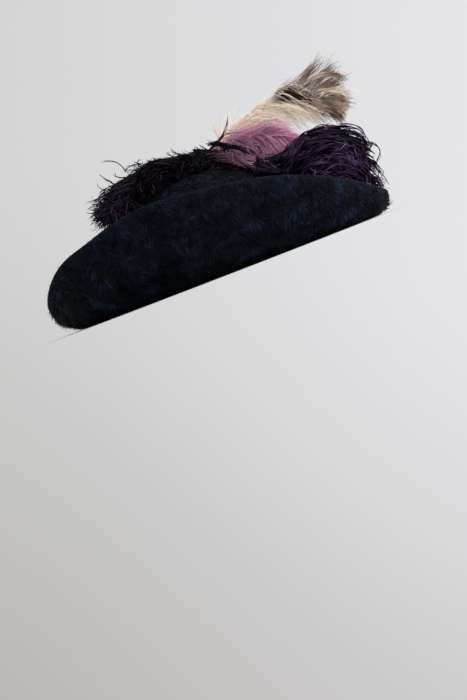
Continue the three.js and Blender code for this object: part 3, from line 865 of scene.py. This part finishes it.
def barb_paths(plume, felt, clearance, rng):
    """The path of each barb: it leaves the quill to one side, leans to the tip, then droops and curls."""
    rows, count, strings = plume["spine"], plume["barbs"], plume["strings"]
    tip, butt = count // TIP_EVERY, int(count * plume["butt"])
    t = [rng.uniform(0, 0.03, butt), rng.uniform(0.02, 1, count - tip - butt), rng.uniform(0.965, 1, tip)]
    t = np.concatenate(t)
    tuft = np.arange(count) // plume["tuft"]
    tufts = tuft.max() + 1
    t = np.clip(t[tuft * plume["tuft"]] + rng.normal(0, 0.006, count), 0, 1)

    def both(draw, share=0.3):
        """Random values, mostly the same within a tuft."""
        return draw(tufts)[tuft] * (1 - share) + draw(count) * share

    ahead = unit(spine_curve(rows, t + 0.01) - spine_curve(rows, t - 0.01))
    face = unit(to_hat(np.array([0, plume["face"]["depth"], plume["face"]["height"]])))
    across = unit(face - ahead * (ahead @ face)[:, None])
    up = np.cross(across, ahead)
    up *= np.where(up[:, 2:] < 0, -1, 1)
    side = np.where(rng.random(tufts) < 0.5, -1.0, 1.0)[tuft]
    long = (rng.random(tufts) < strings["share"])[tuft]
    low = (rng.random(tufts) < plume["low"])[tuft] & ~long
    crest = (rng.random(tufts) < plume["crest"]["share"])[tuft] & ~long & ~low
    end = np.arange(count) >= count - tip
    tilt = both(lambda n: rng.uniform(plume["tilt"]["low"], plume["tilt"]["high"], n))
    tilt = np.where(crest, rng.uniform(50, 105, count), tilt)
    tilt = np.radians(np.where(low, rng.uniform(-90, -50, count), tilt))
    lean = np.where(side > 0, column(rows, "lean", t), column(rows, "under", t))
    lean = np.where(long, strings["lean"], lean)
    lean = np.radians(lean * np.where(low, 0.3, 1) + both(lambda n: rng.normal(0, plume["loose"], n)))
    lean[:butt] = np.radians(rng.uniform(-85, 0, butt))
    lean[end] = np.radians(rng.uniform(20, 88, end.sum()))
    length = np.where(side > 0, column(rows, "upper", t), column(rows, "lower", t)) * MM
    length = length * rng.uniform(0.72, 1.1, count) * (1 - 0.35 * np.maximum(np.sin(tilt), 0))
    length *= np.where(long & ~end, 1 + (strings["long"] - 1) * (1 - t**3), 1)
    length[end] *= 1 - (1 - plume["fan"]) * np.sin(lean[end])
    length[crest] *= plume["crest"]["long"]
    heading = unit(
        across * (side * np.cos(tilt) * np.cos(lean))[:, None]
        + up * (np.sin(tilt) * np.cos(lean))[:, None]
        + ahead * np.sin(lean)[:, None]
    )
    around = both(lambda n: rng.uniform(0, 2 * math.pi, n))
    around = np.where(long, around / 2, around)
    out = column(rows, "body", t) * plume["fill"] * MM * np.sqrt(both(rng.random))
    start = spine_curve(rows, t) + across * (out * np.cos(around))[:, None]
    hang = np.where(low, plume["hang"] * MM * both(rng.random), 0)
    start += up * (out * np.sin(around) * BODY_FLATNESS - hang)[:, None]
    axis = unit(np.cross(heading, (0, 0, 1)) + 0.9 * rng.normal(size=(tufts, 3))[tuft])
    curl = plume["curl"] * both(lambda n: rng.normal(0.7, 0.6, n))
    droop = column(rows, "droop", t) * rng.uniform(0.8, 1.2, count)
    paths = [kept_off(start, felt, clearance)]
    for k in range(BARB_STEPS):
        run = (k + 1) / BARB_STEPS
        moved = paths[-1] + heading * (length / BARB_STEPS)[:, None]
        paths.append(kept_off(moved, felt, clearance))
        heading = heading + np.array([0, 0, -1]) * (droop / BARB_STEPS)[:, None]
        heading = heading + np.cross(axis, heading) * (2 * curl * run**1.5 / BARB_STEPS)[:, None]
        heading = unit(heading + rng.normal(0, plume["wander"], (count, 3)))
    return np.stack(paths, 1), t, side


def wisp_paths(plume, felt, clearance, rng):
    """The paths of the plume's loose strands and the part of the quill that each one is shaded as."""
    run = np.linspace(0, 1, BARB_STEPS + 1)[None, :, None]
    made, parts = [], []
    for wisp in plume["wisps"]:
        root, over, tip = to_hat(np.array([wisp["along"], wisp["depth"], wisp["height"]]).T * MM)
        knee = 2 * over - (root + tip) / 2
        spread = rng.normal(0, wisp["spread"] * MM / 2, (3, wisp["count"], 1, 3))
        reach = rng.uniform(0.7, 1.05, (wisp["count"], 1, 1)) * run
        root, knee, tip = root + spread[0], knee + spread[1], tip + spread[2]
        turns, phase = rng.uniform(0.8, 2.0, (wisp["count"], 1, 1)), rng.random((wisp["count"], 1, 1))
        wave = rng.normal(0, 1, (wisp["count"], 1, 3)) * reach * plume["wave"] * MM
        wave *= np.sin(2 * math.pi * (turns * reach + phase))
        made.append(root * (1 - reach) ** 2 + 2 * knee * reach * (1 - reach) + tip * reach**2 + wave)
        part = wisp["part"] + rng.normal(0, 0.03, wisp["count"])
        parts.append(np.clip(part, math.floor(wisp["part"]), math.floor(wisp["part"]) + 0.99))
    made = np.concatenate(made)
    made = kept_off(made.reshape(-1, 3), felt, clearance).reshape(made.shape)
    return made, np.concatenate(parts)


def barbules(paths, shades, fluff, plume, rng):
    """Short fine hairs along both sides of each barb, each a triangle, as points, tris and map values."""
    count, each, size = len(paths), plume["barbules"], plume["barbule"]
    run = (np.arange(each) + rng.random((count, each))) / each
    x = run * BARB_STEPS
    k = np.minimum(x.astype(int), BARB_STEPS - 1)
    f = (x - k)[..., None]
    rows = np.arange(count)[:, None]
    root = paths[rows, k] * (1 - f) + paths[rows, k + 1] * f
    ahead = unit(paths[rows, k + 1] - paths[rows, k])
    twist = rng.normal(size=(count, 1, 3)) + 0.45 * rng.normal(size=(count, each, 3))
    side = unit(np.cross(ahead, twist)) * np.where(np.arange(each) % 2, 1, -1)[None, :, None]
    long = (size["root"] * (1 - run) + size["tip"] * run) * MM * rng.uniform(0.6, 1.15, (count, each))
    long = long * fluff[:, None]
    out = unit(side + ahead * rng.uniform(0.6, 1.4, (count, each, 1)))
    tip = root + out * long[..., None]
    half = ahead * (size["width"] * MM / 2)
    points = np.stack([root - half, root + half, tip], 2).reshape(-1, 3)
    tris = np.arange(len(points)).reshape(-1, 3)
    u = np.broadcast_to(shades[:, None, None] + np.array([-HALF_SHADE, HALF_SHADE, 0.0]), (count, each, 3))
    v = run[..., None] + np.array([0, 0, 0.012])
    return points, tris, u.ravel(), np.clip(v, 0, 1).ravel()


def plume_piece(name, plume, felt, feathers, material, rng):
    """One joined mesh of a plume's barbs, loose strands and barbules."""
    paths, t, side = barb_paths(plume, felt, feathers.clearance, rng)
    wisps, parts = wisp_paths(plume, felt, feathers.clearance, rng)
    paths = np.concatenate([paths, wisps])
    t = np.concatenate([t, parts % 1])
    side = np.concatenate([side, np.where(parts < 1, -1, 1)])
    count = len(paths)
    across = unit(np.cross(paths[:, 1:] - paths[:, :-1], rng.normal(size=(count, 1, 3))))
    across = np.concatenate([across, across[:, -1:]], 1)
    width = plume["barb_width"] * MM * rng.uniform(0.8, 1.2, count)
    widths = width[:, None] * np.linspace(1, plume["taper"], BARB_STEPS + 1)[None]
    along = np.clip(t + rng.normal(0, 0.012, count), 0, 1)
    shades = MAP_EDGE + (0.5 - 2 * MAP_EDGE) * along + np.where(side > 0, 0.5, 0)
    stems = ribbons(paths, across, widths, shades)
    fluff = np.where(np.arange(count) < count - len(wisps), 1, WISP_FLUFF)
    hairs = barbules(paths, shades, fluff, plume, rng)
    points = np.concatenate([stems[0], hairs[0]])
    tris = np.concatenate([stems[2], hairs[1] + len(stems[0])])
    u, v = np.concatenate([stems[3], hairs[2]]), np.concatenate([stems[4], hairs[3]])
    return mesh_of(name + "_barbs", points, stems[1], tris, u, v, material)


def quill_piece(name, plume, feathers, material):
    """The plume's quill: a tapered round stem along its spine."""
    points = spine_curve(plume["spine"], np.linspace(0, 1, QUILL_STEPS))
    curve = bpy.data.curves.new(name + "_quill", "CURVE")
    curve.dimensions = "3D"
    curve.bevel_depth = feathers.quill
    curve.bevel_resolution = 2
    curve.use_fill_caps = True
    spline = curve.splines.new("POLY")
    spline.points.add(len(points) - 1)
    for i, p in enumerate(points):
        spline.points[i].co = (*p, 1)
        spline.points[i].radius = 1 - 0.8 * i / len(points)
    curve.materials.append(material)
    select_only(new_object(name + "_quill", curve))
    bpy.ops.object.convert(target="MESH")
    bpy.ops.object.shade_smooth()
    return bpy.context.view_layer.objects.active


def copied(node, name):
    """A smooth copy of a CAD node, with its loose triangles merged, left selected and active."""
    made = new_object(name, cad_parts[node].data.copy())
    select_only(made)
    bpy.ops.object.mode_set(mode="EDIT")
    bpy.ops.mesh.select_all(action="SELECT")
    bpy.ops.mesh.remove_doubles(threshold=0.00002)
    bpy.ops.mesh.tris_convert_to_quads()
    bpy.ops.object.mode_set(mode="OBJECT")
    apply_modifier(made, "SUBSURF", "Smooth form", levels=1, render_levels=1)
    return made


def shaded_down_piece(name, plume, felt, feathers, material):
    """The plume's dense down, a dark fill of painted shade a little inside its outer form, with a copy of it
    lower, clear of the felt, as painted shade under the plume.
    """
    made = copied(name, name + "_down")
    apply_modifier(made, "SMOOTH", "Without the locks", factor=0.5, iterations=6)
    apply_modifier(made, "DISPLACE", "Under the barbs", strength=-feathers.sunk, mid_level=0)
    bpy.ops.object.mode_set(mode="EDIT")
    bpy.ops.mesh.select_all(action="SELECT")
    bpy.ops.mesh.duplicate()
    bpy.ops.transform.translate(value=(0, 0, -plume["lowered"] * MM))
    bpy.ops.object.mode_set(mode="OBJECT")
    clear = kept_off(triples(made.data.vertices, "co"), felt, feathers.clearance)
    made.data.vertices.foreach_set("co", clear.ravel())
    made.data.update()
    bpy.ops.object.shade_smooth()
    dress(made, material)
    return made


def open_felt():
    """The sides of the felt that the plumes lie on: the crown's outside and the brim's upper side."""
    points, faces = [], []
    for name, middle, out in (("crown_felt", CROWN_MIDDLE, 1), ("brim_felt", BOWL_MIDDLE, -1)):
        mesh = bpy.data.objects[name].data
        kept = [f for f in mesh.polygons if (f.center - middle).dot(f.normal) * out > 0]
        faces += [tuple(i + len(points) for i in f.vertices) for f in kept]
        points += [v.co.copy() for v in mesh.vertices]
    return BVHTree.FromPolygons(points, faces)


# Stage


def backdrop(stage, across, top):
    """A pale world that darkens towards the picture's left and its low part."""
    world = bpy.data.worlds.new("pale_room")
    world.use_nodes = True
    tree = world.node_tree
    place = add_node(tree, "ShaderNodeTexCoord", "Direction")

    def share(label, axis, low, high):
        """How far a direction lies between two values along an axis, from 0 to 1."""
        dot = add_node(tree, "ShaderNodeVectorMath", label, operation="DOT_PRODUCT")
        dot.inputs[1].default_value = axis
        made = add_node(tree, "ShaderNodeMapRange", label, interpolation_type="SMOOTHSTEP")
        made.inputs["From Min"].default_value = low
        made.inputs["From Max"].default_value = high
        tree.links.new(place.outputs["Generated"], dot.inputs[0])
        tree.links.new(dot.outputs["Value"], made.inputs["Value"])
        return made.outputs["Result"]

    sideways = share("Across", across, -0.19, 0.17)
    upwards = share("Down", (top + across * 0.25).normalized(), -0.27, 0.09)
    sides = mixed(tree, "Left to right", tuple(stage.left), tuple(stage.right), sideways)
    shaded = mixed(tree, "Low part", tuple(stage.low), (1.0, 1.0, 1.0), upwards)
    colour = mixed(tree, "Backdrop", sides, shaded, 1.0, "MULTIPLY")
    tree.links.new(colour, tree.nodes["Background"].inputs["Color"])
    return world


def floor_material(colour):
    """A matt floor that fades out a little beyond the hat."""
    made, tree, surface = new_material("pale_floor", 1.0, 0.0)
    surface.inputs["Base Color"].default_value = (*colour, 1)
    place = add_node(tree, "ShaderNodeTexCoord", "Place")
    away = add_node(tree, "ShaderNodeVectorMath", "From the middle", operation="LENGTH")
    tree.links.new(place.outputs["Object"], away.inputs[0])
    fade = ramped(tree, "Fades out", away.outputs["Value"], [(0.19, 1), (0.23, 0.4), (0.275, 0)])
    tree.links.new(fade, surface.inputs["Alpha"])
    return made


def add_window(stage):
    """Soft light from the camera's right, from above and a little from in front."""
    sun = bpy.data.lights.new("window", "SUN")
    sun.energy = stage.window
    sun.angle = math.radians(80)
    sun.color = (1.0, 0.99, 0.97)
    c, s = math.cos(stage.azimuth), math.sin(stage.azimuth)
    right, away = Vector((c, s, 0)), Vector((-s, c, 0))
    source = right * 0.7 - away * 0.4 + Vector((0, 0, 0.7))
    new_object("window", sun).rotation_euler = source.to_track_quat("Z", "Y").to_euler()


def add_camera(stage, eye, across, top, ahead):
    data = bpy.data.cameras.new("camera")
    data.lens = stage.lens
    data.sensor_width = SENSOR
    data.clip_start = 0.05
    camera = new_object("camera", data)
    turned_to = Matrix((across, top, -ahead)).transposed().to_4x4()
    camera.matrix_world = Matrix.Translation(eye) @ turned_to
    bpy.context.scene.camera = camera


class HAT_OT_felt(bpy.types.Operator):
    """Makes the smooth felt of the brim and the crown"""

    bl_idname = "hat.felt"
    bl_label = "Felt"

    def execute(self, context):
        material = felt_material(context.scene.hat_nap)
        for node in ("brim", "crown"):
            made = copied(node, node + "_felt")
            bpy.ops.object.shade_smooth()
            dress(made, material)
            finish_piece(made, "felt", node)
        return {"FINISHED"}


class HAT_OT_nap(bpy.types.Operator):
    """Lays the long nap on the felt"""

    bl_idname = "hat.nap"
    bl_label = "Nap"

    def execute(self, context):
        nap = context.scene.hat_nap
        material = nap_material(nap)
        rng = np.random.default_rng(NAP_SEED)
        brim, crown = bpy.data.objects["brim_felt"], bpy.data.objects["crown_felt"]
        near = np.array([-math.sin(TRIM_TURN), -math.cos(TRIM_TURN), 0])
        few = 1.0
        rim = rim_height(brim)

        def under(middle, normal):
            return (normal * (np.array(BOWL_MIDDLE) - middle)).sum(1) < 0

        def outside(middle, normal):
            return (normal * (middle - np.array(CROWN_MIDDLE))).sum(1) > 0

        for name, felt, keep, count, its_rim, length, shade in (
            ("nap_under_near", brim, lambda m, n: under(m, n) & (m @ near > 0), 60000, rim, 1.0, 0.4),
            ("nap_under_far", brim, lambda m, n: under(m, n) & (m @ near <= 0), 42000, rim, 1.0, 0.4),
            ("nap_over", brim, lambda m, n: ~under(m, n), 32000, rim, 0.8, 0.38),
            # painted shade: the crown's nap gets a darker shade than the brim's, for the shade under the
            # plumes
            ("nap_crown", crown, outside, 20000, None, 0.7, 0.08),
        ):
            nap_piece(name, felt, keep, int(count * few), nap, material, rng, its_rim, length, shade)
        return {"FINISHED"}


class HAT_OT_plumes(bpy.types.Operator):
    """Makes the ostrich plumes, barb by barb"""

    bl_idname = "hat.plumes"
    bl_label = "Plumes"

    def execute(self, context):
        feathers = context.scene.hat_feathers
        felt = open_felt()
        for seed, (name, plume) in enumerate(PLUMES.items(), PLUME_SEED):
            slot, colour = plume["slot"], getattr(feathers, plume["colour"])
            if "shades" in plume:
                material = feather_material(plume["colour"] + "_barbs", colour, plume)
            else:
                material = cream_material(feathers)
            made = plume_piece(name, plume, felt, feathers, material, np.random.default_rng(seed))
            finish_piece(made, slot, name)
            # The down: dark copies of the plume's form, painted shade inside the plume and under it.
            if plume["down"]:
                deeper = shaded_down_material(name + "_down", [plume["down"] * c for c in colour])
                finish_piece(shaded_down_piece(name, plume, felt, feathers, deeper), slot)
            finish_piece(quill_piece(name, plume, feathers, material), slot)
        return {"FINISHED"}


class HAT_OT_stage(bpy.types.Operator):
    """Sets the floor, the light and the camera"""

    bl_idname = "hat.stage"
    bl_label = "Stage"

    def execute(self, context):
        stage = context.scene.hat_stage
        context.scene.view_settings.view_transform = "Standard"
        eye, across, top, ahead = picture_axes(stage)
        context.scene.world = backdrop(stage, across, top)
        deselect()
        bpy.ops.mesh.primitive_circle_add(vertices=96, radius=1.2, fill_type="NGON", location=(0, 0, 0))
        floor = context.active_object
        floor.name = "floor"
        floor.data.materials.append(floor_material(stage.floor))
        add_window(stage)
        add_camera(stage, eye, across, top, ahead)
        return {"FINISHED"}


class HAT_PT_panel(bpy.types.Panel):
    """Lists the hat's pieces in the order that they're made"""

    bl_idname = "HAT_PT_panel"
    bl_label = "Picture hat"
    bl_space_type = "VIEW_3D"
    bl_region_type = "UI"
    bl_category = "Hat"

    def draw(self, context):
        layout = self.layout
        for step in STEPS:
            layout.operator(step.bl_idname)
        for group in (context.scene.hat_nap, context.scene.hat_feathers, context.scene.hat_stage):
            box = layout.box()
            for key in group.bl_rna.properties.keys():
                if key not in ("rna_type", "name"):
                    box.prop(group, key)


STEPS = (HAT_OT_felt, HAT_OT_nap, HAT_OT_plumes, HAT_OT_stage)
CLASSES = (HatNap, HatFeathers, HatStage, *STEPS, HAT_PT_panel)


def register():
    for made in CLASSES:
        bpy.utils.register_class(made)
    bpy.types.Scene.hat_nap = bpy.props.PointerProperty(type=HatNap)
    bpy.types.Scene.hat_feathers = bpy.props.PointerProperty(type=HatFeathers)
    bpy.types.Scene.hat_stage = bpy.props.PointerProperty(type=HatStage)


def unregister():
    del bpy.types.Scene.hat_stage, bpy.types.Scene.hat_feathers, bpy.types.Scene.hat_nap
    for made in reversed(CLASSES):
        bpy.utils.unregister_class(made)


def main():
    register()
    bpy.ops.hat.stage()
    bpy.ops.hat.felt()
    bpy.ops.hat.nap()
    bpy.ops.hat.plumes()


if __name__ == "__main__":
    main()
